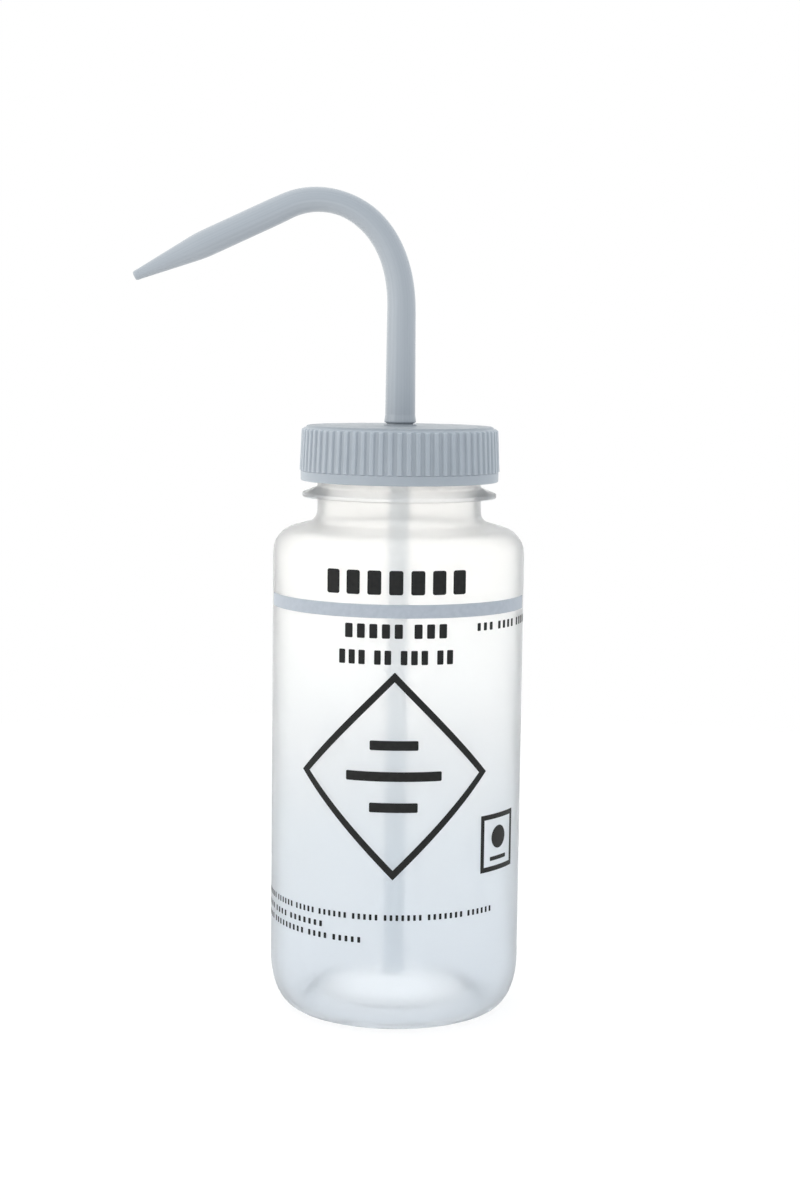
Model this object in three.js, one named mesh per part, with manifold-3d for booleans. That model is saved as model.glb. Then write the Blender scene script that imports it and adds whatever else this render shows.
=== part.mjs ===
// Wide-mouth wash bottle: bottle, screw cap, sealing liner, bent spout and dip tube.
// Millimetres, +Z up. The bottle stands on z = 0. The origin is the centre of the bounding box's
// foot, so the spout's overhang sets the bottle's own axis to the +X side of it.

import * as THREE from 'three';
import { mergeVertices } from 'three/addons/utils/BufferGeometryUtils.js';
import Module from 'manifold-3d';

const wasm = await Module();
wasm.setup();

const TURN = 2 * Math.PI;
const { clamp, degToRad: degrees, lerp: blend, smoothstep } = THREE.MathUtils;

// ---------------------------------------------------------------- driving dimensions

const ROUND_SIDES = 48;
const WELD_DISTANCE = 1e-4;

// Straight pieces in each rounded corner of an outline.
const arcSteps = {
  foot: 6,
  innerFoot: 5,
  shoulder: 5,
  neckFillet: 4,
  capEdge: 3,
};

const body = {
  radius: 37.5,
  wall: 1.2,
  footRadius: 30.6,
  footCornerHeight: 14.5,
  recessRadius: 26,
  recessFloorRadius: 22,
  recessHeight: 2.8,
  floorThickness: 1.6,
  shoulderStart: 137,
  shoulderRadius: 8,
  shoulderSlope: degrees(15),
};

const neck = {
  radius: 24.4,
  boreRadius: 22.5,
  filletRadius: 3.5,
  rimHeight: 171.2,
  rimRound: 0.4,
};

const ring = {
  radius: 28.9,
  bottom: 153.6,
  edgeThickness: 1.2,
  rootTop: 156.5,
};

const thread = {
  pitch: 4.5,
  turns: 1.25,
  rootWidth: 2.6,
  crestWidth: 1.0,
  rootOverlap: 0.5,
  fadeTurns: 0.12,
  startAngle: degrees(1.7),
  stepsPerTurn: 40,
};

const neckThread = {
  crestRadius: 26.2,
  startHeight: 162.5,
};

const cap = {
  bottom: 158.4,
  top: 174.7,
  plate: 1.8,
  topRadius: 27.2,
  topEdgeRadius: 28.2,
  topEdgeDrop: 0.8,
  skirtRadius: 29.45,
  coreRadius: 28.3,
  innerRadius: 27.0,
  threadCrestRadius: 25.0,
  threadPlay: 0.3,
  holeRadius: 4.15,
  bossRadius: 4.9,
  bossHeight: 0.4,
};

const ribs = {
  count: 68,
  bottom: 161.2,
  top: 173.7,
  depth: 0.55,
  topCrestRadius: 29.2,
  bottomCrestRadius: 29.8,
  crestShare: 0.34,
  flankShare: 0.14,
  rootOverlap: 0.5,
};

const liner = {
  thickness: 1.2,
  radius: 26.5,
  holeRadius: 5.1,
  gap: 0.3,
};

const spout = {
  socketBottom: 160.5,
  socketTop: 169.5,
  stubRadius: 4.4,
  socketRadius: 3.35,
  beadRadius: 4.7,
  beadHeight: 1.7,
  grooveRadius: 3.85,
  collarGap: 1.4,
  collarRadius: 4.7,
  collarHeight: 2.2,
  riserFootRadius: 4.45,
  riserTopRadius: 4.2,
  boreRadius: 2.4,
  bendStart: 208.7,
  bendLead: 28.1,
  bendTrail: 14.8,
  bendEndReach: 33.9,
  bendEndHeight: 238.7,
  apexShare: 0.7,
  thinningPower: 0.6,
  roundingRun: 4,
  armFall: degrees(25),
  armLength: 49.6,
  taperLength: 21.8,
  armRadius: 3.95,
  apexThinRadius: 3.58,
  apexWideRadius: 4.4,
  tipRadius: 1.35,
  tipRound: 0.8,
  tipRoundShare: 0.5,
  tipBoreRadius: 0.8,
  boreOverrun: 1,
  footSides: 40,
  sides: 20,
  boreSides: 14,
  steps: 56,
};

const tube = {
  radius: 3.1,
  boreRadius: 2.2,
  bottom: 8,
  socketGap: 0.3,
  sides: 24,
};

const clearance = 0.3;

// ---------------------------------------------------------------- outlines and solids

const point = (r, z) => new THREE.Vector2(r, z);

// Points on an arc, from one angle to the other, about a centre in the (radius, height) plane.
function arc(centreR, centreZ, radiusR, radiusZ, fromAngle, toAngle, steps) {
  return Array.from({ length: steps + 1 }, (_, i) => {
    const angle = blend(fromAngle, toAngle, i / steps);
    return point(centreR + radiusR * Math.cos(angle), centreZ + radiusZ * Math.sin(angle));
  });
}

// An outline that runs anticlockwise in the (radius, height) plane turns into a body that faces out.
// LatheGeometry turns about Y, and this object's axes run along Z.
function uprightLathe(outline, sides = ROUND_SIDES) {
  return new THREE.LatheGeometry(outline, sides).rotateX(Math.PI / 2);
}

function closedOutline(points) {
  return [...points, points[0].clone()];
}

function toSolid(geometry) {
  const bare = geometry.clone();
  bare.deleteAttribute('normal');
  bare.deleteAttribute('uv');
  const merged = mergeVertices(bare, WELD_DISTANCE);
  return new wasm.Manifold(new wasm.Mesh({
    numProp: 3,
    vertProperties: new Float32Array(merged.attributes.position.array),
    triVerts: new Uint32Array(merged.index.array),
  }));
}

function toGeometry(solid) {
  const mesh = solid.getMesh();
  const geometry = new THREE.BufferGeometry();
  geometry.setAttribute('position', new THREE.BufferAttribute(mesh.vertProperties, mesh.numProp));
  geometry.setIndex(new THREE.BufferAttribute(mesh.triVerts, 1));
  geometry.computeVertexNormals();
  return geometry;
}

// A ridge along a screw thread: a straight bar with the thread's section is extruded, then wound
// round the Z axis. Both ends sink into the wall. side is +1 outside a wall and -1 inside it.
function threadRidge(rootRadius, crestRadius, startHeight, side) {
  const { pitch, turns, rootWidth, crestWidth, rootOverlap, fadeTurns } = thread;
  const height = Math.abs(crestRadius - rootRadius);
  const flank = (rootWidth - crestWidth) / 2 / height;
  const baseHalf = rootWidth / 2 + flank * rootOverlap;
  const section = new THREE.Shape([
    point(-rootOverlap, -baseHalf),
    point(height, -crestWidth / 2),
    point(height, crestWidth / 2),
    point(-rootOverlap, baseHalf),
  ]);
  const bar = new THREE.ExtrudeGeometry(section, {
    depth: turns,
    steps: turns * thread.stepsPerTurn,
    bevelEnabled: false,
  });
  const position = bar.attributes.position;
  for (let i = 0; i < position.count; i += 1) {
    const along = position.getZ(i);
    const fade = Math.min(1, Math.min(along, turns - along) / fadeTurns);
    const isCrest = position.getX(i) > 0;
    const rise = isCrest ? blend(-rootOverlap / 2, height, fade) : -rootOverlap;
    const radius = rootRadius + side * rise;
    const angle = thread.startAngle + along * TURN;
    position.setXYZ(i, radius * Math.cos(angle), radius * Math.sin(angle),
      startHeight - side * position.getY(i) + along * pitch);
  }
  return bar;
}

// ---------------------------------------------------------------- bottle

function shoulderOutline(wallOffset) {
  const { radius, shoulderRadius, shoulderStart, shoulderSlope } = body;
  const cornerCentre = radius - shoulderRadius;
  const cornerRadius = shoulderRadius - wallOffset;
  const corner = arc(cornerCentre, shoulderStart, cornerRadius, cornerRadius,
    0, Math.PI / 2 - shoulderSlope, arcSteps.shoulder);
  const neckWall = wallOffset > 0 ? neck.boreRadius : neck.radius;
  const filletRadius = neck.filletRadius + wallOffset;
  const filletCentre = neckWall + filletRadius;
  const last = corner[corner.length - 1];
  const filletFootR = filletCentre - filletRadius * Math.sin(shoulderSlope);
  const slopeFootZ = last.y + (last.x - filletFootR) * Math.tan(shoulderSlope);
  const filletCentreZ = slopeFootZ + filletRadius * Math.cos(shoulderSlope);
  const fillet = arc(filletCentre, filletCentreZ, filletRadius, filletRadius,
    1.5 * Math.PI - shoulderSlope, Math.PI, arcSteps.neckFillet);
  return [...corner, ...fillet];
}

function footOutline() {
  const { radius, footRadius, footCornerHeight, recessRadius, recessFloorRadius, recessHeight } = body;
  return [
    point(0, recessHeight),
    point(recessFloorRadius, recessHeight),
    point(recessRadius, 0),
    ...arc(footRadius, footCornerHeight, radius - footRadius, footCornerHeight,
      -Math.PI / 2, 0, arcSteps.foot),
  ];
}

function innerFootOutline() {
  const { radius, wall, footRadius, footCornerHeight, recessRadius, recessHeight, floorThickness } = body;
  const cornerFoot = footRadius - wall / 2;
  const corner = arc(cornerFoot, footCornerHeight, radius - wall - cornerFoot, footCornerHeight - wall,
    0, -Math.PI / 2, arcSteps.innerFoot);
  return [
    ...corner,
    point(recessRadius + wall, floorThickness),
    point(recessRadius - 2 * wall, recessHeight + floorThickness),
    point(0, recessHeight + floorThickness),
  ];
}

function neckOutline() {
  const rimInner = neck.boreRadius + neck.rimRound;
  return [
    point(neck.radius, ring.bottom),
    point(ring.radius, ring.bottom),
    point(ring.radius, ring.bottom + ring.edgeThickness),
    point(neck.radius, ring.rootTop),
    point(neck.radius, neck.rimHeight - neck.rimRound),
    point(neck.radius - neck.rimRound, neck.rimHeight),
    point(rimInner, neck.rimHeight),
    point(neck.boreRadius, neck.rimHeight - neck.rimRound),
  ];
}

function bottleSolid() {
  const outline = [
    ...footOutline(),
    ...shoulderOutline(0),
    ...neckOutline(),
    ...shoulderOutline(body.wall).reverse(),
    ...innerFootOutline(),
  ];
  const shell = toSolid(uprightLathe(outline));
  const ridge = toSolid(threadRidge(neck.radius, neckThread.crestRadius, neckThread.startHeight, 1));
  return shell.add(ridge);
}

// ---------------------------------------------------------------- cap and liner

// The grip's outline: each rib has a flat crest, two sloping flanks and a flat valley.
function gripOutline() {
  const { count, depth, topCrestRadius, crestShare, flankShare } = ribs;
  const valley = topCrestRadius - depth;
  const corners = [
    [-crestShare / 2 - flankShare, valley],
    [-crestShare / 2, topCrestRadius],
    [crestShare / 2, topCrestRadius],
    [crestShare / 2 + flankShare, valley],
  ];
  const outline = [];
  for (let rib = 0; rib < count; rib += 1) {
    for (const [share, radius] of corners) {
      const angle = ((rib + share) * TURN) / count;
      outline.push(point(radius * Math.cos(angle), radius * Math.sin(angle)));
    }
  }
  return outline;
}

// The ribbed band, wider at its foot than at its top.
function gripBand() {
  const shape = new THREE.Shape(gripOutline());
  const inner = new THREE.Path();
  inner.absarc(0, 0, cap.coreRadius - ribs.rootOverlap, 0, TURN, true);
  shape.holes.push(inner);
  const band = new THREE.ExtrudeGeometry(shape, {
    depth: ribs.top - ribs.bottom,
    steps: 1,
    curveSegments: ROUND_SIDES / 2,
    bevelEnabled: false,
  });
  const flare = ribs.bottomCrestRadius / ribs.topCrestRadius;
  const position = band.attributes.position;
  for (let i = 0; i < position.count; i += 1) {
    const isFoot = position.getZ(i) < (ribs.top - ribs.bottom) / 2;
    const isOuter = Math.hypot(position.getX(i), position.getY(i)) > cap.coreRadius;
    if (isFoot && isOuter) {
      position.setX(i, position.getX(i) * flare);
      position.setY(i, position.getY(i) * flare);
    }
  }
  return band.translate(0, 0, ribs.bottom);
}

function capSolid() {
  const { bottom, top, plate, topRadius, topEdgeRadius, topEdgeDrop, skirtRadius, coreRadius } = cap;
  const { innerRadius, holeRadius, bossRadius, bossHeight } = cap;
  const outline = closedOutline([
    point(innerRadius, bottom),
    point(skirtRadius, bottom),
    point(skirtRadius, ribs.bottom),
    point(coreRadius, ribs.bottom),
    point(coreRadius, ribs.top),
    ...arc(topRadius, top - topEdgeDrop, topEdgeRadius - topRadius, topEdgeDrop,
      0, Math.PI / 2, arcSteps.capEdge),
    point(bossRadius, top),
    point(bossRadius, top + bossHeight),
    point(holeRadius, top + bossHeight),
    point(holeRadius, top - plate),
    point(innerRadius, top - plate),
  ]);
  const shell = toSolid(uprightLathe(outline));
  const grip = toSolid(gripBand());
  const ridgeStart = neckThread.startHeight + cap.threadPlay - thread.pitch / 2;
  const ridge = toSolid(threadRidge(cap.innerRadius, cap.threadCrestRadius, ridgeStart, -1));
  return shell.add(grip).add(ridge);
}

function linerGeometry() {
  const bottom = neck.rimHeight + liner.gap;
  return uprightLathe(closedOutline([
    point(liner.holeRadius, bottom),
    point(liner.radius, bottom),
    point(liner.radius, bottom + liner.thickness),
    point(liner.holeRadius, bottom + liner.thickness),
  ]));
}

// ---------------------------------------------------------------- spout and dip tube

const sweepStart = cap.top + spout.collarGap + spout.collarHeight / 2;

// The middle of the spout: straight up, round the bend, and down the sloping arm.
function spoutPath(firstHeight, lastReach) {
  const fall = new THREE.Vector3(-Math.cos(spout.armFall), 0, -Math.sin(spout.armFall));
  const bendStart = new THREE.Vector3(0, 0, spout.bendStart);
  const bendEnd = new THREE.Vector3(-spout.bendEndReach, 0, spout.bendEndHeight);
  const path = new THREE.CurvePath();
  path.add(new THREE.LineCurve3(new THREE.Vector3(0, 0, firstHeight), bendStart));
  path.add(new THREE.CubicBezierCurve3(
    bendStart,
    bendStart.clone().add(new THREE.Vector3(0, 0, spout.bendLead)),
    bendEnd.clone().addScaledVector(fall, -spout.bendTrail),
    bendEnd,
  ));
  path.add(new THREE.LineCurve3(bendEnd, bendEnd.clone().addScaledVector(fall, lastReach)));
  return path;
}

// How far out from the bottle's axis the arm's middle is, after this length of the arm.
const armReach = (length) => spout.bendEndReach + length * Math.cos(spout.armFall);
const taperStartReach = armReach(spout.armLength - spout.taperLength);
const armEndReach = armReach(spout.armLength);

// 0 before the arm's taper and 1 at its tip.
const taperAt = (reach) => clamp((reach - taperStartReach) / (armEndReach - taperStartReach), 0, 1);

// The outside section at a point of the path: [in the bend's plane, across it].
function spoutSection(centre) {
  const upRiser = clamp((centre.z - cap.top) / (spout.bendStart - cap.top), 0, 1);
  const riser = blend(spout.riserFootRadius, spout.riserTopRadius, upRiser);
  const reach = -centre.x;
  const apex = spout.apexShare * spout.bendEndReach;
  const intoBend = smoothstep(reach, 0, apex);
  const afterBend = smoothstep(reach, apex, spout.bendEndReach + spout.roundingRun);
  const apexThin = blend(riser, spout.apexThinRadius, intoBend ** spout.thinningPower);
  const apexWide = blend(riser, spout.apexWideRadius, intoBend);
  const thin = blend(apexThin, spout.armRadius, afterBend);
  const wide = blend(apexWide, spout.armRadius, afterBend);
  const taper = taperAt(reach);
  const intoTip = Math.max(0, 1 - (armEndReach - reach) / spout.tipRound);
  const tipWall = spout.tipRadius - spout.tipBoreRadius;
  const tipRadius = spout.tipRadius - tipWall * spout.tipRoundShare * intoTip ** 2;
  return [blend(thin, tipRadius, taper), blend(wide, tipRadius, taper)];
}

function boreSection(centre) {
  const radius = blend(spout.boreRadius, spout.tipBoreRadius, taperAt(-centre.x));
  return [radius, radius];
}

// A rod of radius 1 along the path, with each ring of points then moved out to its own section.
function sweep(path, sides, sectionAt) {
  const { steps } = spout;
  const circle = new THREE.Shape(Array.from({ length: sides }, (_, i) => {
    const angle = (i * TURN) / sides;
    return point(Math.cos(angle), Math.sin(angle));
  }));
  const rod = new THREE.ExtrudeGeometry(circle, { steps, extrudePath: path, bevelEnabled: false });
  const centres = path.getSpacedPoints(steps);
  const sections = centres.map(sectionAt);
  const position = rod.attributes.position;
  const vertex = new THREE.Vector3();
  for (let i = 0; i < position.count; i += 1) {
    vertex.fromBufferAttribute(position, i);
    const near = centres.reduce((best, centre, k) =>
      (centre.distanceToSquared(vertex) < centres[best].distanceToSquared(vertex) ? k : best), 0);
    const offset = vertex.clone().sub(centres[near]);
    const [thin, wide] = sections[near];
    position.setXYZ(i, centres[near].x + offset.x * thin, offset.y * wide,
      centres[near].z + offset.z * thin);
  }
  return rod;
}

// The straight foot of the spout: socket for the dip tube, bead, snap groove and collar.
function spoutFootOutline() {
  const { socketBottom, stubRadius, beadRadius, beadHeight, grooveRadius } = spout;
  const { collarGap, collarRadius, collarHeight, riserFootRadius } = spout;
  const beadTop = cap.top - cap.plate - clearance;
  const collarBottom = cap.top + cap.bossHeight + clearance;
  const collarTop = cap.top + collarGap + collarHeight;
  return [
    point(0, socketBottom),
    point(stubRadius, socketBottom),
    point(stubRadius, beadTop - beadHeight),
    point(beadRadius, beadTop - beadHeight / 2),
    point(beadRadius, beadTop),
    point(grooveRadius, beadTop),
    point(grooveRadius, collarBottom + clearance),
    point(collarRadius, cap.top + collarGap),
    point(collarRadius, cap.top + collarGap + collarHeight / 4),
    point(riserFootRadius, collarTop),
    point(0, collarTop),
  ];
}

function spoutSolid() {
  const foot = toSolid(uprightLathe(spoutFootOutline(), spout.footSides));
  const outside = toSolid(sweep(spoutPath(sweepStart, spout.armLength), spout.sides, spoutSection));
  const borePath = spoutPath(spout.socketTop - clearance, spout.armLength + spout.boreOverrun);
  const bore = toSolid(sweep(borePath, spout.boreSides, boreSection));
  const socket = toSolid(uprightLathe([
    point(0, spout.socketBottom - clearance),
    point(spout.socketRadius, spout.socketBottom - clearance),
    point(spout.socketRadius, spout.socketTop),
    point(0, spout.socketTop),
  ], tube.sides));
  return foot.add(outside).subtract(bore).subtract(socket);
}

function tubeGeometry() {
  const top = spout.socketTop - tube.socketGap;
  return uprightLathe(closedOutline([
    point(tube.boreRadius, tube.bottom),
    point(tube.radius, tube.bottom),
    point(tube.radius, top),
    point(tube.boreRadius, top),
  ]), tube.sides);
}

// ---------------------------------------------------------------- materials

const naturalPolyethylene = () => new THREE.MeshStandardMaterial({
  color: 0xe6ebf2,
  roughness: 0.42,
  metalness: 0,
  transparent: true,
  opacity: 0.45,
});

const greyPolypropylene = () => new THREE.MeshStandardMaterial({
  color: 0xa6adb8,
  roughness: 0.38,
  metalness: 0,
});

const greyPolyethylene = () => new THREE.MeshStandardMaterial({
  color: 0xadb7c2,
  roughness: 0.32,
  metalness: 0,
});

const whiteFoam = () => new THREE.MeshStandardMaterial({
  color: 0xf1f1ee,
  roughness: 0.8,
  metalness: 0,
});

const paleTube = () => new THREE.MeshStandardMaterial({
  color: 0xbdc6d0,
  roughness: 0.35,
  metalness: 0,
});

// ---------------------------------------------------------------- the object

function part(name, geometry, material) {
  const mesh = new THREE.Mesh(geometry, material);
  mesh.name = name;
  return mesh;
}

const washBottle = new THREE.Group();
const onBottleAxis = new THREE.Group();
onBottleAxis.add(
  part('bottle', toGeometry(bottleSolid()), naturalPolyethylene()),
  part('cap', toGeometry(capSolid()), greyPolypropylene()),
  part('cap_liner', linerGeometry(), whiteFoam()),
  part('spout', toGeometry(spoutSolid()), greyPolyethylene()),
  part('dip_tube', tubeGeometry(), paleTube()),
);

const tipReach = armEndReach + spout.tipRadius * Math.sin(spout.armFall);
onBottleAxis.position.x = (tipReach - body.radius) / 2;
washBottle.add(onBottleAxis);

export default washBottle;
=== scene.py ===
import math
from bisect import bisect_right

import bmesh
import bpy
from mathutils import Matrix, Vector


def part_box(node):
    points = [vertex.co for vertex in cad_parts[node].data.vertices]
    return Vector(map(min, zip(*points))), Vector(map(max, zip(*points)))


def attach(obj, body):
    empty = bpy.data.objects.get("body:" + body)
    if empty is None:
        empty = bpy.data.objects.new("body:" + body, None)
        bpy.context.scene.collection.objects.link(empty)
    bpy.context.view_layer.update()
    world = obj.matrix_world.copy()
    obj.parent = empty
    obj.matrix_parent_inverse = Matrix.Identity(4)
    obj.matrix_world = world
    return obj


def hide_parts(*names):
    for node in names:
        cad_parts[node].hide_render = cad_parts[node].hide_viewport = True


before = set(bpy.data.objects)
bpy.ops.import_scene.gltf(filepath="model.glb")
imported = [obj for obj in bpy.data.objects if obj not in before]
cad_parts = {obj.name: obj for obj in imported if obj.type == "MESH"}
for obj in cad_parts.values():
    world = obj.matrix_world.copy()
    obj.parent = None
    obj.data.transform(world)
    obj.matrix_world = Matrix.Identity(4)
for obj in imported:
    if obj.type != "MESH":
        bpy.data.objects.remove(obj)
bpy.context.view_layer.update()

# Lengths are in millimetres until a mesh is made, and heights start at the surface the bottle stands on.
MM = 0.001
TURN = 2 * math.pi

# A radius below ON_AXIS is on the axis. Radii less than SAME_R apart belong to the same wall.
ON_AXIS = 1e-6
SAME_R = 0.01

# ---------------------------------------------------------------- sizes taken from the frame


def box_mm(node):
    low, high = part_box(node)
    return [value / MM for value in low], [value / MM for value in high]


bottle_low, bottle_high = box_mm("bottle")
cap_low, cap_high = box_mm("cap")
liner_low, liner_high = box_mm("cap_liner")
tube_low, tube_high = box_mm("dip_tube")

AXIS_X = (bottle_low[0] + bottle_high[0]) / 2
BODY_R = (bottle_high[0] - bottle_low[0]) / 2
RIM_Z = bottle_high[2]
CAP_BOTTOM = cap_low[2]
BOSS_HEIGHT = 0.4
CAP_TOP = cap_high[2] - BOSS_HEIGHT
LINER_R = (liner_high[0] - liner_low[0]) / 2
TUBE_R = (tube_high[0] - tube_low[0]) / 2

# ---------------------------------------------------------------- sizes of the bottle

WALL = 1.2
FOOT_R = 30.6
FOOT_CORNER = 14.5
RECESS_R = 26.0
RECESS_FLOOR_R = 22.0
RECESS_HEIGHT = 2.8
FLOOR_THICKNESS = 1.6
SHOULDER_Z = 143.14
SHOULDER_FILLET = 8.0
SHOULDER_RISE = math.tan(math.radians(15))
NECK_R = 24.4
NECK_BORE_R = 22.5
NECK_FILLET = 3.5
RING_R = 28.9
RING_BOTTOM = 153.6
RING_EDGE = 1.2
RING_ROOT_TOP = 156.5
BOTTLE_SIDES = 256

THREAD_PITCH = 4.5
THREAD_TURNS = 1.25
THREAD_ROOT = 2.6
THREAD_CREST = 1.0
THREAD_FADE = 0.12
THREAD_START_ANGLE = math.radians(1.7)
THREAD_ROW = 0.3
THREAD_PLAY = 0.3
NECK_THREAD_Z = 162.5
NECK_THREAD_R = 26.2
# The heights between which the wall has rows that can carry its thread.
NECK_THREAD_ROWS = (RING_ROOT_TOP + 2.5, RIM_Z - 0.8)

# ---------------------------------------------------------------- sizes of the cap and liner

CAP_THREAD_Z = NECK_THREAD_Z + THREAD_PLAY - THREAD_PITCH / 2
CAP_THREAD_R = 25.0
CAP_INNER_R = 27.0
CAP_PLATE = 1.8
CAP_THREAD_ROWS = (CAP_BOTTOM + 0.8, CAP_TOP - CAP_PLATE - 3.0)
CAP_HOLE_R = 4.15
BOSS_R = 4.9
SKIRT_R = 29.45
LEDGE_Z = 174.0
LEDGE_R = 28.1
TOP_R = 27.5

RIB_COUNT = 68
RIB_BOTTOM = 161.2
RIB_TOP = 173.8
RIB_DEPTH = 0.55
RIB_CREST_TOP = 29.2
RIB_CREST_BOTTOM = 29.78
RIB_CREST_EDGE = 0.15
RIB_FLANK_FOOT = 0.34
RIB_END = 0.35
RIB_FOOT_ROWS = (0.15, 0.4, 0.7, 1.0)
RIB_HEAD_ROWS = (2.0, 1.0, 0.7, 0.4, 0.1)
RIB_SAMPLES = 12

LINER_HOLE_R = 5.1

# ---------------------------------------------------------------- sizes of the spout and dip tube

STUB_BOTTOM = 160.5
SOCKET_DEPTH = 9.0
STUB_R = 4.4
SOCKET_R = 3.35
BEAD_R = 4.7
BEAD_HEIGHT = 1.7
GROOVE_R = 3.85
COLLAR_GAP = 1.1
COLLAR_R = 4.7
COLLAR_HEIGHT = 2.2
FIT_GAP = 0.3
RISER_R = 4.45
RISER_EASE = 2.0
BORE_SHARE = 0.55
BEND_START = 208.7
BEND_LEAD = 28.1
BEND_TRAIL = 14.8
BEND_END = Vector((-33.9, 0, 238.7))
BEND_STEPS = 200
ARM_FALL = math.radians(25)
ARM_LENGTH = 49.6
TAPER_LENGTH = 21.8
TIP_R = 1.35
TIP_BORE_R = 0.8
TIP_ROUND = 0.6
TIP_BORE_LENGTH = 2.0

# Radii of the spout in the bend's plane and across it: at shares of the bend, then at lengths after it,
# then at lengths after the start of the taper.
BEND_RADII = [(0, 4.22, 4.22), (0.30, 3.95, 4.3), (0.52, 3.80, 4.38), (0.70, 3.56, 4.42), (0.82, 3.62, 4.35)]
ARM_RADII = [(0, 3.86, 4.1), (5, 3.97, 3.97)]
TAPER_RADII = [(0, 3.95, 3.95), (2, 3.74, 3.74)]
SMOOTHING = (-2.0, -1.0, 0.0, 1.0, 2.0)
OUTSIDE_STEPS = 150
BORE_STEPS = 60
STREAK_STRETCH = 0.01
SPOUT_SIDES = 48
TUBE_BORE_R = 2.2

# ---------------------------------------------------------------- layout of the print

PRINT_FRONT = -math.pi / 2
PRINT_LOW = 0.02
PRINT_HIGH = 0.05
PRINT_STEP = 1.0
CORNER_STEPS = 4
BAND = (121.6, 125.45)
BAND_HALF = 51.4
BAR_END_HALF = 0.01
WORD_GAP = 0.55
BLOCK_CORNER = 0.1
BLOCK_SHARE = 0.64
SMALL_BLOCK_SHARE = 0.45

# Lines of blocks: left, right, low, high, and how many blocks each word has.
HEADING = [(-21.2, 20.2, 128.2, 135.1, [7])]
NAME_LINES = [(-15.3, 14.4, 115.8, 119.9, [5, 3]), (-17.1, 16.4, 108.3, 112.4, [3, 2, 3, 2])]
SIDE_NOTE = (24.6, 55.0, 117.3, 119.6, [3, 4, 5])
SIDE_NOTE_SHARE = 0.5
FOOTNOTES = [
    (-55, 31.8, 34.1, 35.8, [6, 6, 5, 6, 5, 7, 7, 6]),
    (-55, -22.2, 30.5, 32.2, [4, 4, 7]),
    (-55, -9.8, 27.2, 28.9, [4, 9, 4, 5]),
]

DIAMOND_CENTRE = (-0.6, 76.1)
DIAMOND_HALF = (29.4, 30.1)
DIAMOND_STROKE = 1.95
DIAMOND_BARS = [(7, 9), (14, 0), (7, -9)]
DIAMOND_BAR_HALF = 1.4
PICTOGRAM_CENTRE = (35.2, 54.4)
PICTOGRAM_HALF = (8.0, 8.5)
PICTOGRAM_STROKE = 1.4
PICTOGRAM_DISC_R = 3.4
PICTOGRAM_DISC_RISE = 1.4
PICTOGRAM_BAR_HALF = 4
PICTOGRAM_BAR = (-5.4, -4.2)

# ---------------------------------------------------------------- mesh building


def rounded(corners, steps=6):
    """The outline through (radius, height, fillet) corners, each rounded by its fillet."""
    points = []
    for i, (radius, height, fillet) in enumerate(corners):
        corner = Vector((radius, height))
        if fillet == 0:
            points.append(corner)
            continue
        back = (Vector(corners[i - 1][:2]) - corner).normalized()
        on = (Vector(corners[(i + 1) % len(corners)][:2]) - corner).normalized()
        half = back.angle(on) / 2
        centre = corner + (back + on).normalized() * fillet / math.sin(half)
        first = corner + back * fillet / math.tan(half) - centre
        sweep = first.angle_signed(corner + on * fillet / math.tan(half) - centre)
        for step in range(steps + 1):
            points.append(centre + Matrix.Rotation(-sweep * step / steps, 2) @ first)
    return points


def joined(rows, closed):
    """Faces between each row of vertex numbers and the next. A row of one number is a pole."""
    faces = []
    following = rows[1:] + (rows[:1] if closed else [])
    for low, high in zip(rows, following):
        count = max(len(low), len(high))
        for k in range(count):
            far = (k + 1) % count
            ring = [low[k % len(low)], low[far % len(low)], high[far % len(high)], high[k % len(high)]]
            faces.append(list(dict.fromkeys(ring)))
    return faces


def make_object(name, points, faces, smooth_angle=35):
    """A mesh object in metres from points in millimetres, with its faces turned outwards."""
    mesh = bpy.data.meshes.new(name)
    mesh.from_pydata([point * MM for point in points], [], faces)
    work = bmesh.new()
    work.from_mesh(mesh)
    bmesh.ops.recalc_face_normals(work, faces=work.faces)
    work.to_mesh(mesh)
    work.free()
    mesh.polygons.foreach_set("use_smooth", [True] * len(mesh.polygons))
    mesh.set_sharp_from_angle(angle=math.radians(smooth_angle))
    piece = bpy.data.objects.new(name, mesh)
    bpy.context.scene.collection.objects.link(piece)
    return piece


def round_axis(radius, angle, height):
    """A point round the bottle's axis."""
    return Vector((AXIS_X + radius * math.cos(angle), radius * math.sin(angle), height))


def turned(name, outline, sides, radius_at=None):
    """Turns an outline of (radius, height) round the bottle's axis. radius_at(radius, height, angle) can
    change the radius on the way. The outline starts and ends on the axis, or closes on itself."""
    points, rows = [], []
    for radius, height in outline:
        count = 1 if radius < ON_AXIS else sides
        rows.append(list(range(len(points), len(points) + count)))
        for k in range(count):
            angle = k * TURN / sides
            r = radius_at(radius, height, angle) if radius_at else radius
            points.append(round_axis(r, angle, height))
    return make_object(name, points, joined(rows, closed=outline[0][0] > ON_AXIS))


def thread_rise(height, angle, start_height, depth):
    """How far a thread's ridge stands out at this height and angle. It fades out at both ends."""
    around = (angle - THREAD_START_ANGLE) / TURN % 1
    best = 0.0
    for whole in range(math.ceil(THREAD_TURNS)):
        along = around + whole
        if along > THREAD_TURNS:
            continue
        off = abs(height - start_height - along * THREAD_PITCH)
        flank = (THREAD_ROOT / 2 - off) / ((THREAD_ROOT - THREAD_CREST) / 2)
        fade = min(along, THREAD_TURNS - along) / THREAD_FADE
        best = max(best, min(flank, 1.0) * min(fade, 1.0))
    return depth * best


def rows_between(radius, low, high):
    """Corners up a straight wall, close enough together to carry a thread."""
    count = round((high - low) / THREAD_ROW)
    return [(radius, low + (high - low) * i / count, 0) for i in range(count + 1)]


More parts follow.
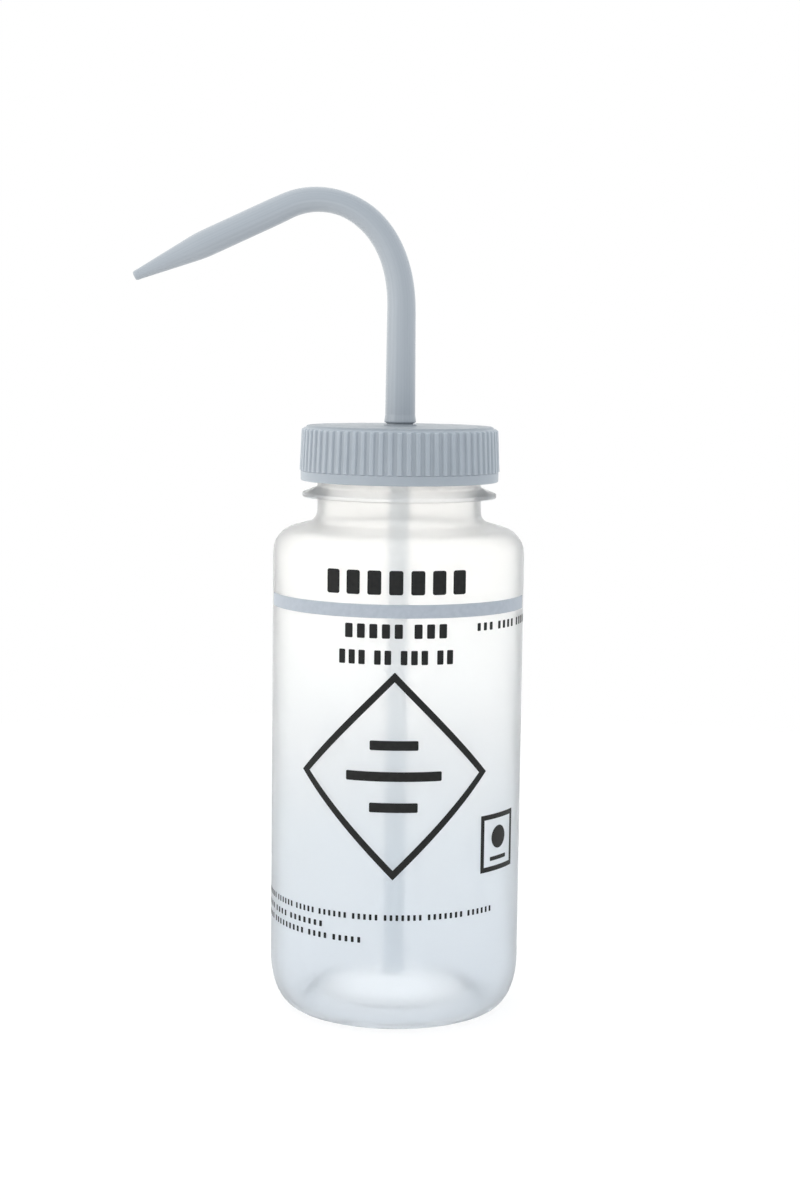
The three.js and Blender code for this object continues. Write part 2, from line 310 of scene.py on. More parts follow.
def smoothstep(value, low, high):
    """0 below low, 1 above high, and an easy curve in between."""
    share = min(max((value - low) / (high - low), 0.0), 1.0)
    return share * share * (3 - 2 * share)


# ---------------------------------------------------------------- bottle


def foot_corner(foot_r, wall_r, floor_z, steps=14):
    """The quarter of an ellipse from the foot up to the straight wall."""
    corner = []
    for i in range(steps + 1):
        angle = -math.pi / 2 * (1 - i / steps)
        radius = foot_r + (wall_r - foot_r) * math.cos(angle)
        height = FOOT_CORNER + (FOOT_CORNER - floor_z) * math.sin(angle)
        corner.append((radius, height, 0))
    return corner


def bottle_outline():
    """Corners up the outside from the middle of the foot, over the rim and back down the inside."""
    inner_r = BODY_R - WALL
    inner_drop = WALL * math.sqrt(1 + SHOULDER_RISE**2)

    def shoulder_height(radius):
        return SHOULDER_Z + (BODY_R - radius) * SHOULDER_RISE

    outside = [
        (0, RECESS_HEIGHT, 0),
        (RECESS_FLOOR_R, RECESS_HEIGHT, 3.0),
        (RECESS_R, 0, 1.5),
        *foot_corner(FOOT_R, BODY_R, 0),
        (BODY_R, SHOULDER_Z, SHOULDER_FILLET),
        (NECK_R, shoulder_height(NECK_R), NECK_FILLET),
        (NECK_R, RING_BOTTOM, 0.5),
        (RING_R, RING_BOTTOM, 0.35),
        (RING_R, RING_BOTTOM + RING_EDGE, 0.5),
        (NECK_R, RING_ROOT_TOP, 1.0),
        *rows_between(NECK_R, *NECK_THREAD_ROWS),
        (NECK_R, RIM_Z, 0.5),
        (NECK_BORE_R, RIM_Z, 0.5),
    ]
    inside = [
        (NECK_BORE_R, shoulder_height(NECK_BORE_R) - inner_drop, NECK_FILLET + WALL),
        (inner_r, shoulder_height(inner_r) - inner_drop, SHOULDER_FILLET - WALL),
        *reversed(foot_corner(FOOT_R - WALL / 2, inner_r, WALL)),
        (RECESS_R + WALL, FLOOR_THICKNESS, 2.0),
        (RECESS_R - 2 * WALL, RECESS_HEIGHT + FLOOR_THICKNESS, 3.0),
        (0, RECESS_HEIGHT + FLOOR_THICKNESS, 0),
    ]
    return rounded(outside + inside)


def neck_radius(radius, height, angle):
    """The neck's wall with its thread on it."""
    if abs(radius - NECK_R) > SAME_R or height < RING_ROOT_TOP:
        return radius
    return radius + thread_rise(height, angle, NECK_THREAD_Z, NECK_THREAD_R - NECK_R)


def build_bottle():
    piece = turned("bottle_shell", bottle_outline(), BOTTLE_SIDES, neck_radius)
    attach(piece, "bottle")
    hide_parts("bottle")
    return piece


# ---------------------------------------------------------------- cap and liner


def rib_valley(height):
    """The radius between two ribs. The ribs lean in a little towards the top."""
    share = (height - RIB_BOTTOM) / (RIB_TOP - RIB_BOTTOM)
    return RIB_CREST_BOTTOM + (RIB_CREST_TOP - RIB_CREST_BOTTOM) * share - RIB_DEPTH


def cap_outline():
    rib_heights = [RIB_BOTTOM + RIB_END * share for share in RIB_FOOT_ROWS]
    rib_heights += [RIB_TOP - RIB_END * share for share in RIB_HEAD_ROWS]
    plate_z = CAP_TOP - CAP_PLATE
    return rounded([
        (CAP_INNER_R, CAP_BOTTOM, 0.4),
        (SKIRT_R, CAP_BOTTOM, 0.4),
        (SKIRT_R, RIB_BOTTOM, 0.1),
        *[(rib_valley(height), height, 0) for height in rib_heights],
        (rib_valley(RIB_TOP), LEDGE_Z, 0.15),
        (LEDGE_R, LEDGE_Z, 0.2),
        (TOP_R, CAP_TOP, 0.45),
        (BOSS_R, CAP_TOP, 0.15),
        (BOSS_R, CAP_TOP + BOSS_HEIGHT, 0.2),
        (CAP_HOLE_R, CAP_TOP + BOSS_HEIGHT, 0.15),
        (CAP_HOLE_R, plate_z, 0.15),
        (CAP_INNER_R, plate_z, 0.5),
        *reversed(rows_between(CAP_INNER_R, *CAP_THREAD_ROWS)),
    ], steps=4)


def cap_radius(radius, height, angle):
    """The cap's walls with the ribs outside and the thread inside."""
    is_outside = radius > (CAP_INNER_R + SKIRT_R) / 2
    if is_outside and RIB_BOTTOM < height < RIB_TOP:
        phase = abs((angle * RIB_COUNT / TURN + 0.5) % 1 - 0.5)
        crest = 1 - smoothstep(phase, RIB_CREST_EDGE, RIB_FLANK_FOOT)
        foot = smoothstep(height, RIB_BOTTOM, RIB_BOTTOM + RIB_END)
        head = smoothstep(-height, -RIB_TOP, RIB_END - RIB_TOP)
        return radius + RIB_DEPTH * crest * foot * head
    if abs(radius - CAP_INNER_R) < SAME_R:
        return radius - thread_rise(height, angle, CAP_THREAD_Z, CAP_INNER_R - CAP_THREAD_R)
    return radius


def build_cap():
    piece = turned("cap_shell", cap_outline(), RIB_COUNT * RIB_SAMPLES, cap_radius)
    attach(piece, "cap")
    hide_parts("cap")
    return piece


def build_liner():
    outline = rounded([
        (LINER_HOLE_R, liner_low[2], 0.15),
        (LINER_R, liner_low[2], 0.15),
        (LINER_R, liner_high[2], 0.15),
        (LINER_HOLE_R, liner_high[2], 0.15),
    ])
    piece = turned("liner_washer", outline, BOTTLE_SIDES // 2)
    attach(piece, "liner")
    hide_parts("cap_liner")
    return piece


# ---------------------------------------------------------------- spout and dip tube


def bezier(a, b, c, d, t):
    s = 1 - t
    return a * s**3 + b * (3 * s * s * t) + c * (3 * s * t * t) + d * t**3


class SpoutPath:
    """The spout's middle line, measured along its length from the foot of its stub."""

    def __init__(self):
        fall = Vector((-math.cos(ARM_FALL), 0, -math.sin(ARM_FALL)))
        start = Vector((0, 0, BEND_START))
        lead = start + Vector((0, 0, BEND_LEAD))
        trail = BEND_END - fall * BEND_TRAIL
        bend = [bezier(start, lead, trail, BEND_END, i / BEND_STEPS) for i in range(BEND_STEPS + 1)]
        self.points = [Vector((0, 0, STUB_BOTTOM)), *bend, BEND_END + fall * ARM_LENGTH]
        self.lengths = [0.0]
        for a, b in zip(self.points, self.points[1:]):
            self.lengths.append(self.lengths[-1] + (b - a).length)
        self.bend_start = self.lengths[1]
        self.bend_end = self.lengths[-2]
        self.end = self.lengths[-1]

    def at(self, along):
        """(place, direction) at a length along the path."""
        i = min(bisect_right(self.lengths, along), len(self.points) - 1)
        a, b = self.points[i - 1], self.points[i]
        direction = (b - a).normalized()
        return a + direction * (along - self.lengths[i - 1]), direction


def blended(keys, along):
    """The two values at a length, on straight lines between (length, value, value) keys."""
    if along <= keys[0][0]:
        return keys[0][1:]
    for (a, *first), (b, *second) in zip(keys, keys[1:]):
        if along <= b:
            share = (along - a) / (b - a)
            return [x + (y - x) * share for x, y in zip(first, second)]
    return keys[-1][1:]


def spout_foot():
    """Stations (length, thin, wide) of the stub, bead, snap groove and collar."""
    bead_top = CAP_TOP - CAP_PLATE - FIT_GAP
    groove_top = CAP_TOP + BOSS_HEIGHT + FIT_GAP
    collar = CAP_TOP + COLLAR_GAP
    outline = rounded([
        (SOCKET_R, STUB_BOTTOM, 0.2),
        (STUB_R, STUB_BOTTOM, 0.4),
        (STUB_R, bead_top - BEAD_HEIGHT, 0),
        (BEAD_R, bead_top - BEAD_HEIGHT / 2, 0.3),
        (BEAD_R, bead_top, 0.2),
        (GROOVE_R, bead_top, 0.15),
        (GROOVE_R, groove_top, 0.2),
        (COLLAR_R, collar, 0.25),
        (COLLAR_R, collar + COLLAR_HEIGHT / 4, 0.4),
        (RISER_R, collar + COLLAR_HEIGHT, 1.0),
        (RISER_R, collar + COLLAR_HEIGHT + RISER_EASE, 0),
    ], steps=4)
    return [(height - STUB_BOTTOM, radius, radius) for radius, height in outline]


def spout_keys(path):
    """Keys (length, thin, wide) for the outside of the spout above its collar."""
    bend = path.bend_end - path.bend_start
    taper_start = path.end - TAPER_LENGTH
    return [
        (CAP_TOP + COLLAR_GAP + COLLAR_HEIGHT + RISER_EASE - STUB_BOTTOM, RISER_R, RISER_R),
        *[(path.bend_start + share * bend, thin, wide) for share, thin, wide in BEND_RADII],
        *[(path.bend_end + length, thin, wide) for length, thin, wide in ARM_RADII],
        *[(taper_start + length, thin, wide) for length, thin, wide in TAPER_RADII],
        (path.end, TIP_R, TIP_R),
    ]


def outside_stations(path, keys, first):
    """Stations up the riser, round the bend and down the arm, with the keys' corners smoothed away."""
    span = path.end - TIP_ROUND - first
    stations = []
    for i in range(1, OUTSIDE_STEPS + 1):
        along = first + span * i / OUTSIDE_STEPS
        near = [blended(keys, along + shift) for shift in SMOOTHING]
        thin, wide = (sum(values) / len(SMOOTHING) for values in zip(*near))
        stations.append((along, thin, wide))
    return stations


def tip_stations(path):
    """Stations round the lip of the jet, given by how far back each is and by its radius."""
    lip = [
        (0.25, TIP_R - 0.02),
        (0.06, TIP_R - 0.14),
        (0, (TIP_R + TIP_BORE_R) / 2),
        (0.08, TIP_BORE_R + 0.06),
        (0.3, TIP_BORE_R),
    ]
    return [(path.end - back, radius, radius) for back, radius in lip]


def bore_stations(path, keys):
    """Stations back down the bore, from the jet to the socket for the dip tube."""
    first = path.end - TIP_BORE_LENGTH
    stations = []
    for i in range(BORE_STEPS):
        along = first - (first - SOCKET_DEPTH) * i / (BORE_STEPS - 1)
        thin, wide = blended(keys, along)
        taper = smoothstep(along, path.end - TAPER_LENGTH, path.end)
        share = BORE_SHARE + (TIP_BORE_R / TIP_R - BORE_SHARE) * taper
        stations.append((along, thin * share, wide * share))
    return stations


def spout_stations(path):
    """Closed loop of stations (length, thin, wide): up the outside to the jet and back down the bore."""
    keys = spout_keys(path)
    foot = spout_foot()
    outside = outside_stations(path, keys, foot[-1][0])
    socket = [(SOCKET_DEPTH, SOCKET_R, SOCKET_R)]
    return foot + outside + tip_stations(path) + bore_stations(path, keys) + socket


def build_spout():
    path = SpoutPath()
    points, rows, around = [], [], []
    for along, thin, wide in spout_stations(path):
        place, direction = path.at(along)
        across = Vector((direction.z, 0, -direction.x))
        rows.append(list(range(len(points), len(points) + SPOUT_SIDES)))
        for k in range(SPOUT_SIDES):
            angle = k * TURN / SPOUT_SIDES
            offset = across * (thin * math.cos(angle)) + Vector((0, wide * math.sin(angle), 0))
            points.append(Vector((AXIS_X, 0, 0)) + place + offset)
            around.append((math.cos(angle), math.sin(angle), along * STREAK_STRETCH))
    piece = make_object("spout_tube", points, joined(rows, closed=True), smooth_angle=40)
    attribute = piece.data.attributes.new("along_tube", "FLOAT_VECTOR", "POINT")
    attribute.data.foreach_set("vector", [value for point in around for value in point])
    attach(piece, "spout")
    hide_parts("spout")
    return piece


def build_dip_tube():
    outline = rounded([
        (TUBE_BORE_R, tube_low[2], 0.2),
        (TUBE_R, tube_low[2], 0.2),
        (TUBE_R, tube_high[2], 0.3),
        (TUBE_BORE_R, tube_high[2], 0.2),
    ])
    piece = turned("dip_tube_straw", outline, SPOUT_SIDES)
    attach(piece, "spout")
    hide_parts("dip_tube")
    return piece


# ---------------------------------------------------------------- print


def on_wall(place, lift):
    """A point of the print: its distance round the wall from the front, and its height."""
    return round_axis(BODY_R + lift, PRINT_FRONT + place[0] / BODY_R, place[1])


class Print:
    """One piece of printing, made of thin closed ribbons that lie on the bottle's wall."""

    def __init__(self):
        self.points = []
        self.faces = []

    def ribbon(self, pairs, closed=False):
        """A flat shape between pairs of points, each pair a low and a high (distance, height)."""
        rows = []
        for low, high in pairs:
            rows.append(range(len(self.points), len(self.points) + 4))
            self.points += [on_wall(low, PRINT_LOW), on_wall(high, PRINT_LOW)]
            self.points += [on_wall(high, PRINT_HIGH), on_wall(low, PRINT_HIGH)]
        self.faces += joined([list(row) for row in rows], closed)
        if not closed:
            self.faces += [list(rows[0]), list(reversed(rows[-1]))]

    def bar(self, left, right, low, high, corner=0.25):
        """An upright-sided bar with rounded corners. Its ends are never quite pointed."""
        corner = min(corner, (right - left) / 2, (high - low) / 2)
        width = right - left
        cuts = [corner * (1 - math.cos(math.pi / 2 * i / CORNER_STEPS)) for i in range(CORNER_STEPS + 1)]
        count = max(1, math.ceil((width - 2 * corner) / PRINT_STEP))
        middle = [corner + (width - 2 * corner) * i / count for i in range(1, count)]
        pairs = []
        for cut in cuts + middle + [width - cut for cut in reversed(cuts)]:
            edge = min(cut, width - cut)
            trim = corner - math.sqrt(max(corner**2 - max(corner - edge, 0) ** 2, BAR_END_HALF**2))
            pairs.append(((left + cut, low + trim), (left + cut, high - trim)))
        self.ribbon(pairs)

    def frame(self, corners, inset):
        """A closed outline through corners, its inner edge drawn in towards their middle."""
        middle = sum((Vector(corner) for corner in corners), Vector((0, 0))) / len(corners)
        pairs = []
        for start, stop in zip(corners, corners[1:] + corners[:1]):
            length = (Vector(stop) - Vector(start)).length
            count = math.ceil(length / PRINT_STEP)
            for i in range(count):
                outer = Vector(start).lerp(Vector(stop), i / count)
                inner = middle + (outer - middle) * inset
                pairs.append((inner, outer))
        self.ribbon(pairs, closed=True)

    def disc(self, centre, radius, steps=16, end_angle=0.03):
        """A round spot, cut off just short of its left and right ends."""
        pairs = []
        for i in range(steps + 1):
            angle = math.pi * (end_angle + (1 - 2 * end_angle) * i / steps)
            across, half = radius * math.cos(angle), radius * math.sin(angle)
            pairs.append(((centre[0] - across, centre[1] - half), (centre[0] - across, centre[1] + half)))
        self.ribbon(pairs)

    def words(self, left, right, low, high, counts, share=BLOCK_SHARE):
        """A line of words made of plain blocks, with this many blocks in each word. Each block fills this
        share of its place."""
        pitch = (right - left) / (sum(counts) + WORD_GAP * (len(counts) - 1) - (1 - share))
        for count in counts:
            for _ in range(count):
                self.bar(left, left + share * pitch, low, high, corner=BLOCK_CORNER * pitch)
                left += pitch
            left += WORD_GAP * pitch

    def finish(self, name):
        piece = make_object(name, self.points, self.faces)
        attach(piece, "bottle")
        return piece


def print_band():
    band = Print()
    band.bar(-BAND_HALF, BAND_HALF, *BAND, corner=0.1)
    return band.finish("print_band")


def print_heading():
    heading = Print()
    for line in HEADING:
        heading.words(*line)
    return heading.finish("print_heading")


def print_lines():
    lines = Print()
    for line in NAME_LINES:
        lines.words(*line)
    lines.words(*SIDE_NOTE, share=SIDE_NOTE_SHARE)
    return lines.finish("print_lines")


def print_diamond():
    (u, z), (half_u, half_z) = DIAMOND_CENTRE, DIAMOND_HALF
    corners = [(u, z - half_z), (u + half_u, z), (u, z + half_z), (u - half_u, z)]
    diamond = Print()
    diamond.frame(corners, 1 - DIAMOND_STROKE * math.sqrt(2) / half_u)
    for width, rise in DIAMOND_BARS:
        level = z + rise
        diamond.bar(u - width, u + width, level - DIAMOND_BAR_HALF, level + DIAMOND_BAR_HALF, corner=0.4)
    return diamond.finish("print_diamond")


def print_pictogram():
    (u, z), (half_u, half_z) = PICTOGRAM_CENTRE, PICTOGRAM_HALF
    low, high = z - half_z, z + half_z
    corners = [(u - half_u, low), (u + half_u, low), (u + half_u, high), (u - half_u, high)]
    pictogram = Print()
    pictogram.frame(corners, 1 - PICTOGRAM_STROKE / half_u)
    pictogram.disc((u, z + PICTOGRAM_DISC_RISE), PICTOGRAM_DISC_R)
    bar_low, bar_high = PICTOGRAM_BAR
    pictogram.bar(u - PICTOGRAM_BAR_HALF, u + PICTOGRAM_BAR_HALF, z + bar_low, z + bar_high)
    return pictogram.finish("print_pictogram")


def print_footnotes():
    notes = Print()
    for line in FOOTNOTES:
        notes.words(*line, share=SMALL_BLOCK_SHARE)
    return notes.finish("print_footnotes")


# ---------------------------------------------------------------- materials

# Distances in the materials are in metres.

class Nodes:
    """A node material with one Principled shader, and short calls for what the looks need."""

    def __init__(self, name):
        self.material = bpy.data.materials.new(name)
        self.material.use_nodes = True
        self.tree = self.material.node_tree
        self.tree.nodes.clear()
        self.output = self.add("ShaderNodeOutputMaterial")
        self.shader = self.add("ShaderNodeBsdfPrincipled")
        self.link(self.shader.outputs[0], self.output.inputs["Surface"])
        self.place = self.add("ShaderNodeTexCoord").outputs["Object"]

    def add(self, kind, **settings):
        node = self.tree.nodes.new(kind)
        for key, value in settings.items():
            setattr(node, key, value)
        return node

    def link(self, source, target):
        self.tree.links.new(source, target)

    def set(self, **values):
        """Gives the shader's sockets plain values."""
        for key, value in values.items():
            self.shader.inputs[key.replace("_", " ")].default_value = value

    def stretched(self, vector, scale):
        node = self.add("ShaderNodeMapping")
        node.inputs["Scale"].default_value = scale
        self.link(vector, node.inputs["Vector"])
        return node.outputs[0]

    def noise(self, scale, detail=2.0, vector=None):
        node = self.add("ShaderNodeTexNoise")
        node.inputs["Scale"].default_value = scale
        node.inputs["Detail"].default_value = detail
        self.link(vector or self.place, node.inputs["Vector"])
        return node.outputs["Fac"]

    def between(self, value, low, high, from_low=0.3, from_high=0.7):
        """value, which runs from from_low to from_high, turned into low to high."""
        node = self.add("ShaderNodeMapRange")
        limits = {"From Min": from_low, "From Max": from_high, "To Min": low, "To Max": high}
        for key, number in limits.items():
            node.inputs[key].default_value = number
        self.link(value, node.inputs["Value"])
        return node.outputs[0]

    def colours(self, value, stops):
        """value turned into a colour through (position, colour) stops."""
        ramp = self.add("ShaderNodeValToRGB")
        elements = ramp.color_ramp.elements
        while len(elements) < len(stops):
            elements.new(0.5)
        for element, (position, colour) in zip(elements, stops):
            element.position = position
            element.color = (*colour, 1)
        self.link(value, ramp.inputs[0])
        return ramp.outputs[0]

    def mixed(self, share, colour, other):
        """A colour with this share of another, plain one mixed in."""
        node = self.add("ShaderNodeMix", data_type="RGBA")
        node.inputs["B"].default_value = (*other, 1)
        self.link(share, node.inputs["Factor"])
        self.link(colour, node.inputs["A"])
        return node.outputs["Result"]

    def height(self):
        """The height above the ground with the bottle at rest."""
        split = self.add("ShaderNodeSeparateXYZ")
        self.link(self.place, split.inputs[0])
        return split.outputs["Z"]

    def absorb(self, colour, density):
        """Tints what is seen through the material, by how thick it is."""
        node = self.add("ShaderNodeVolumeAbsorption")
        node.inputs["Color"].default_value = (*colour, 1)
        node.inputs["Density"].default_value = density
        self.link(node.outputs[0], self.output.inputs["Volume"])

    def bump(self, height, strength, distance, under=None):
        node = self.add("ShaderNodeBump")
        node.inputs["Strength"].default_value = strength
        node.inputs["Distance"].default_value = distance
        self.link(height, node.inputs["Height"])
        if under:
            self.link(under, node.inputs["Normal"])
        return node.outputs[0]

    def feed(self, **sockets):
        """Links other nodes' outputs to the shader's sockets."""
        for key, source in sockets.items():
            self.link(source, self.shader.inputs[key.replace("_", " ")])


def bottle_floor_light_mask(look):
    """Painted light from the table below, which whitens the bottle's floor: 1 on the raised middle of the
    bottle's floor, and 0 on the foot, the walls and the neck. Height counts double in the distance from the
    floor's middle."""
    centred = look.add("ShaderNodeVectorMath", operation="SUBTRACT")
    centred.inputs[1].default_value = (AXIS_X * MM, 0, 0)
    look.link(look.place, centred.inputs[0])
    distance = look.add("ShaderNodeVectorMath", operation="LENGTH")
    look.link(look.stretched(centred.outputs[0], (1, 1, 2)), distance.inputs[0])
    return look.between(distance.outputs["Value"], 1, 0, RECESS_FLOOR_R * MM, (RECESS_R + 1) * MM)


# The bottle's colour by height, from 0 at the foot to 1 at the rim: painted light and shade, whiter and
# warmer towards the top, greyer and bluer towards the foot. Each place borrows its colour from up to
# BOTTLE_CLOUD / 2 metres above or below it.
BOTTLE_LIGHT_AND_SHADE_COLOURS = [
    (0.05, (0.855, 0.885, 0.915)),
    (0.3, (0.88, 0.905, 0.925)),
    (0.5, (0.94, 0.945, 0.945)),
    (0.8, (1.0, 0.985, 0.965)),
    (0.93, (0.985, 0.965, 0.94)),
]
BOTTLE_CLOUD = 0.03


def natural_polyethylene():
    look = Nodes("natural_polyethylene")
    mixed = look.add("ShaderNodeMath", operation="MULTIPLY_ADD")
    look.link(look.noise(45, 3), mixed.inputs[0])
    mixed.inputs[1].default_value = BOTTLE_CLOUD
    look.link(look.height(), mixed.inputs[2])
    tone = look.between(mixed.outputs[0], 0, 1, BOTTLE_CLOUD / 2, BOTTLE_CLOUD / 2 + RIM_Z * MM)
    # Painted light and shade: the colour by height is whiter near the top and greyer and bluer near the
    # foot.
    colour = look.colours(tone, BOTTLE_LIGHT_AND_SHADE_COLOURS)
    # Painted light: the raised middle of the floor is mixed towards white, as if lit from the table below.
    colour = look.mixed(bottle_floor_light_mask(look), colour, (1.0, 1.0, 1.0))
    wave = look.bump(look.noise(38, 1), 0.1, 0.0008)
    grain = look.bump(look.noise(2600, 2), 0.08, 0.00006, wave)
    look.feed(Base_Color=colour, Roughness=look.between(look.noise(90, 2), 0.29, 0.33), Normal=grain)
    look.set(Transmission_Weight=0.84, IOR=1.13)
    look.set(Subsurface_Weight=1.0, Subsurface_Radius=(1.0, 1.0, 1.0), Subsurface_Scale=0.003)
    look.absorb((0.62, 0.69, 0.75), density=30)
    return look.material


# Painted shade: a darker grey for the cap's top plate than for its ribbed skirt.
CAP_PLATE_SHADE_COLOUR = (0.31, 0.335, 0.36)


def grey_polypropylene():
    look = Nodes("grey_polypropylene")
    tone = look.noise(120, 3)
    side = look.colours(tone, [(0.3, (0.385, 0.42, 0.455)), (0.7, (0.41, 0.445, 0.48))])
    # Painted shade: above the ribs the colour turns to the darker plate grey.
    plate_shade_share = look.between(look.height(), 0, 1, RIB_TOP * MM, CAP_TOP * MM)
    colour = look.mixed(plate_shade_share, side, CAP_PLATE_SHADE_COLOUR)
    grain = look.bump(look.noise(1800, 3), 0.12, 0.00008)
    look.feed(Base_Color=colour, Roughness=look.between(look.noise(260, 2), 0.42, 0.52), Normal=grain)
    look.set(IOR=1.49, Specular_IOR_Level=0.15)
    look.set(Subsurface_Weight=0.6, Subsurface_Radius=(1.0, 1.0, 1.0), Subsurface_Scale=0.0018)
    return look.material


def grey_polyethylene():
    look = Nodes("grey_polyethylene")
    attribute = look.add("ShaderNodeAttribute", attribute_name="along_tube")
    streaks = look.noise(9, 3, look.stretched(attribute.outputs["Vector"], (1, 1, 0.15)))
    colour = look.colours(streaks, [(0.3, (0.365, 0.395, 0.425)), (0.7, (0.415, 0.445, 0.475))])
    fine = look.bump(streaks, 0.2, 0.0001)
    grain = look.bump(look.noise(1200, 2), 0.06, 0.00005, fine)
    look.feed(Base_Color=colour, Roughness=look.between(streaks, 0.30, 0.38), Normal=grain)
    look.set(IOR=1.5)
    return look.material


def pale_tube():
    look = Nodes("pale_tube")
    streaks = look.noise(300, 2, look.stretched(look.place, (1, 1, 0.02)))
    colour = look.colours(streaks, [(0.3, (0.92, 0.94, 0.955)), (0.7, (0.97, 0.98, 0.985))])
    ridges = look.bump(streaks, 0.2, 0.0001)
    look.feed(Base_Color=colour, Roughness=look.between(streaks, 0.29, 0.36), Normal=ridges)
    look.set(Transmission_Weight=0.9, IOR=1.15)
    look.absorb((0.55, 0.65, 0.75), density=60)
    return look.material


def white_foam():
    look = Nodes("white_foam")
    cells = look.noise(2500, 2)
    colour = look.colours(cells, [(0.3, (0.80, 0.80, 0.78)), (0.7, (0.88, 0.88, 0.86))])
    pits = look.bump(cells, 0.4, 0.0001)
    look.feed(Base_Color=colour, Roughness=look.between(cells, 0.7, 0.9), Normal=pits)
    return look.material


def ink(name, dark, light):
    look = Nodes(name)
    film = look.noise(700, 3)
    colour = look.colours(film, [(0.3, dark), (0.7, light)])
    grain = look.bump(film, 0.15, 0.00003)
    look.feed(Base_Color=colour, Roughness=look.between(film, 0.42, 0.55), Normal=grain)
    look.set(IOR=1.46, Specular_IOR_Level=0.2)
    return look.material


# ---------------------------------------------------------------- floor, light and camera

# The floor and the lights are in metres, and the camera is in millimetres.
FLOOR_RADIUS = 0.5
FLOOR_SIDES = 64
FLOOR_FADE = (0.05, 0.45)
FLOOR_GLOW = 0.8
FLOOR_LIGHT = (1.95, 1.05)
FLOOR_PATCH = (0.014, 0.024)
FLOOR_BEHIND = 0.012
LIGHT_FROM = Vector((-0.5, 0.75, -0.05)).normalized()
LIGHT_WEAK = (0.60, 0.64, 0.685)
LIGHT_STRONG = (1.0, 1.0, 0.985)
LIGHT_STRENGTH = 1.42
SIDE_LIGHT_PLACE = Vector((-0.8, -0.4, 0.4))
SIDE_LIGHT_SIZE = 0.4
SIDE_LIGHT_POWER = 1.2


def floor_material():
    """A white table that glows: brightest in a patch under the bottle, and plain white light further out,
    so its edge can't be told from the white behind it."""
    look = Nodes("floor_white")
    speckle = look.noise(400, 2)
    look.feed(Base_Color=look.colours(speckle, [(0.3, (0.93, 0.93, 0.93)), (0.7, (0.95, 0.95, 0.95))]))
    look.set(Roughness=0.9)
    glow = look.add("ShaderNodeEmission")
    length = look.add("ShaderNodeVectorMath", operation="LENGTH")
    look.link(look.place, length.inputs[0])
    reach = length.outputs["Value"]
    look.link(look.between(reach, *FLOOR_LIGHT, *FLOOR_PATCH), glow.inputs["Strength"])
    mix = look.add("ShaderNodeMixShader")
    look.link(look.between(reach, FLOOR_GLOW, 1, *FLOOR_FADE), mix.inputs[0])
    look.link(look.shader.outputs[0], mix.inputs[1])
    look.link(glow.outputs[0], mix.inputs[2])
    look.link(mix.outputs[0], look.output.inputs["Surface"])
    return look.material


def build_floor():
    angles = [k * TURN / FLOOR_SIDES for k in range(FLOOR_SIDES)]
    points = [Vector((math.cos(angle), math.sin(angle), 0)) * FLOOR_RADIUS for angle in angles]
    mesh = bpy.data.meshes.new("floor")
    mesh.from_pydata(points, [], [list(range(FLOOR_SIDES))])
    floor = bpy.data.objects.new("floor", mesh)
    floor.location = (AXIS_X * MM, FLOOR_BEHIND, 0)
    bpy.context.scene.collection.objects.link(floor)
    mesh.materials.append(floor_material())


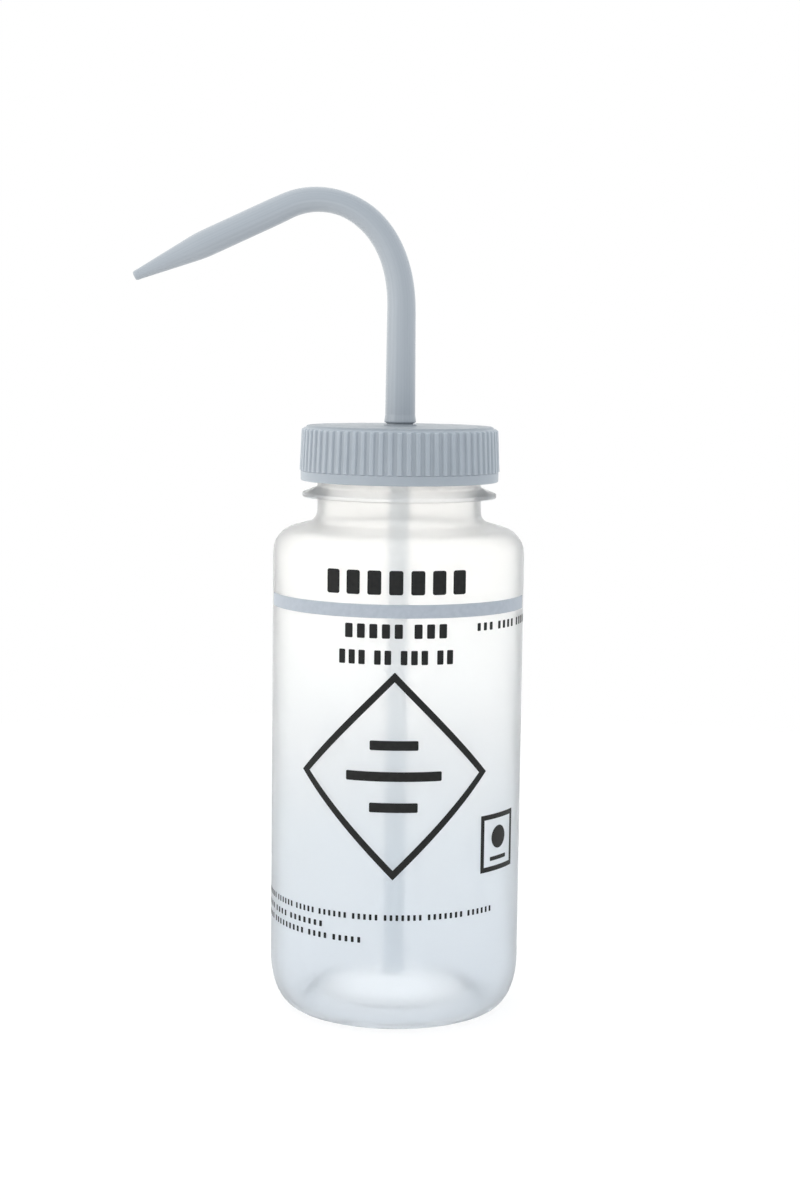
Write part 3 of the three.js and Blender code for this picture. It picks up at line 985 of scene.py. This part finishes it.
def build_world():
    """Soft light from all round, strongest from behind and the left. The camera itself sees plain white."""
    world = bpy.data.worlds.new("studio")
    bpy.context.scene.world = world
    world.use_nodes = True
    tree = world.node_tree
    tree.nodes.clear()
    direction = tree.nodes.new("ShaderNodeTexCoord").outputs["Generated"]
    towards = tree.nodes.new("ShaderNodeVectorMath")
    towards.operation = "DOT_PRODUCT"
    towards.inputs[1].default_value = LIGHT_FROM
    tree.links.new(direction, towards.inputs[0])
    share = tree.nodes.new("ShaderNodeMapRange")
    share.inputs["From Min"].default_value = -1
    tree.links.new(towards.outputs["Value"], share.inputs["Value"])
    ramp = tree.nodes.new("ShaderNodeValToRGB")
    ramp.color_ramp.elements[0].color = (*LIGHT_WEAK, 1)
    ramp.color_ramp.elements[1].color = (*LIGHT_STRONG, 1)
    tree.links.new(share.outputs[0], ramp.inputs[0])
    soft = tree.nodes.new("ShaderNodeBackground")
    soft.inputs["Strength"].default_value = LIGHT_STRENGTH
    tree.links.new(ramp.outputs[0], soft.inputs["Color"])
    white = tree.nodes.new("ShaderNodeBackground")
    white.inputs["Color"].default_value = (1, 1, 1, 1)
    mix = tree.nodes.new("ShaderNodeMixShader")
    tree.links.new(tree.nodes.new("ShaderNodeLightPath").outputs["Is Camera Ray"], mix.inputs[0])
    tree.links.new(soft.outputs[0], mix.inputs[1])
    tree.links.new(white.outputs[0], mix.inputs[2])
    tree.links.new(mix.outputs[0], tree.nodes.new("ShaderNodeOutputWorld").inputs[0])


def build_side_light():
    data = bpy.data.lights.new("side_light", "AREA")
    data.size = SIDE_LIGHT_SIZE
    data.energy = SIDE_LIGHT_POWER
    light = bpy.data.objects.new("side_light", data)
    light.location = SIDE_LIGHT_PLACE
    light.rotation_euler = (-SIDE_LIGHT_PLACE).to_track_quat("-Z", "Y").to_euler()
    bpy.context.scene.collection.objects.link(light)


CAMERA_DISTANCE = 621.1
CAMERA_HEIGHT = 194.1
CAMERA_SIDE = 0.6
CAMERA_PITCH = math.radians(6.57)
CAMERA_ROLL = math.radians(0.69)
CAMERA_LENS = 62.5


def build_camera():
    data = bpy.data.cameras.new("camera")
    data.lens = CAMERA_LENS
    camera = bpy.data.objects.new("camera", data)
    place = Vector((AXIS_X + CAMERA_SIDE, -CAMERA_DISTANCE, CAMERA_HEIGHT)) * MM
    tilt = Matrix.Rotation(math.pi / 2 - CAMERA_PITCH, 4, "X") @ Matrix.Rotation(CAMERA_ROLL, 4, "Z")
    camera.matrix_world = Matrix.Translation(place) @ tilt
    bpy.context.scene.collection.objects.link(camera)
    bpy.context.scene.camera = camera
    bpy.context.scene.view_settings.view_transform = "Standard"


# ---------------------------------------------------------------- the scene

build_camera()
build_world()
build_side_light()
build_floor()

build_bottle().data.materials.append(natural_polyethylene())
build_cap().data.materials.append(grey_polypropylene())
build_liner().data.materials.append(white_foam())
build_spout().data.materials.append(grey_polyethylene())
build_dip_tube().data.materials.append(pale_tube())

black_ink = ink("black_ink", (0.012, 0.012, 0.0115), (0.019, 0.019, 0.018))
band_ink = ink("band_ink", (0.40, 0.435, 0.48), (0.44, 0.475, 0.52))
print_band().data.materials.append(band_ink)
for build_print in (print_heading, print_lines, print_diamond, print_pictogram, print_footnotes):
    build_print().data.materials.append(black_ink)
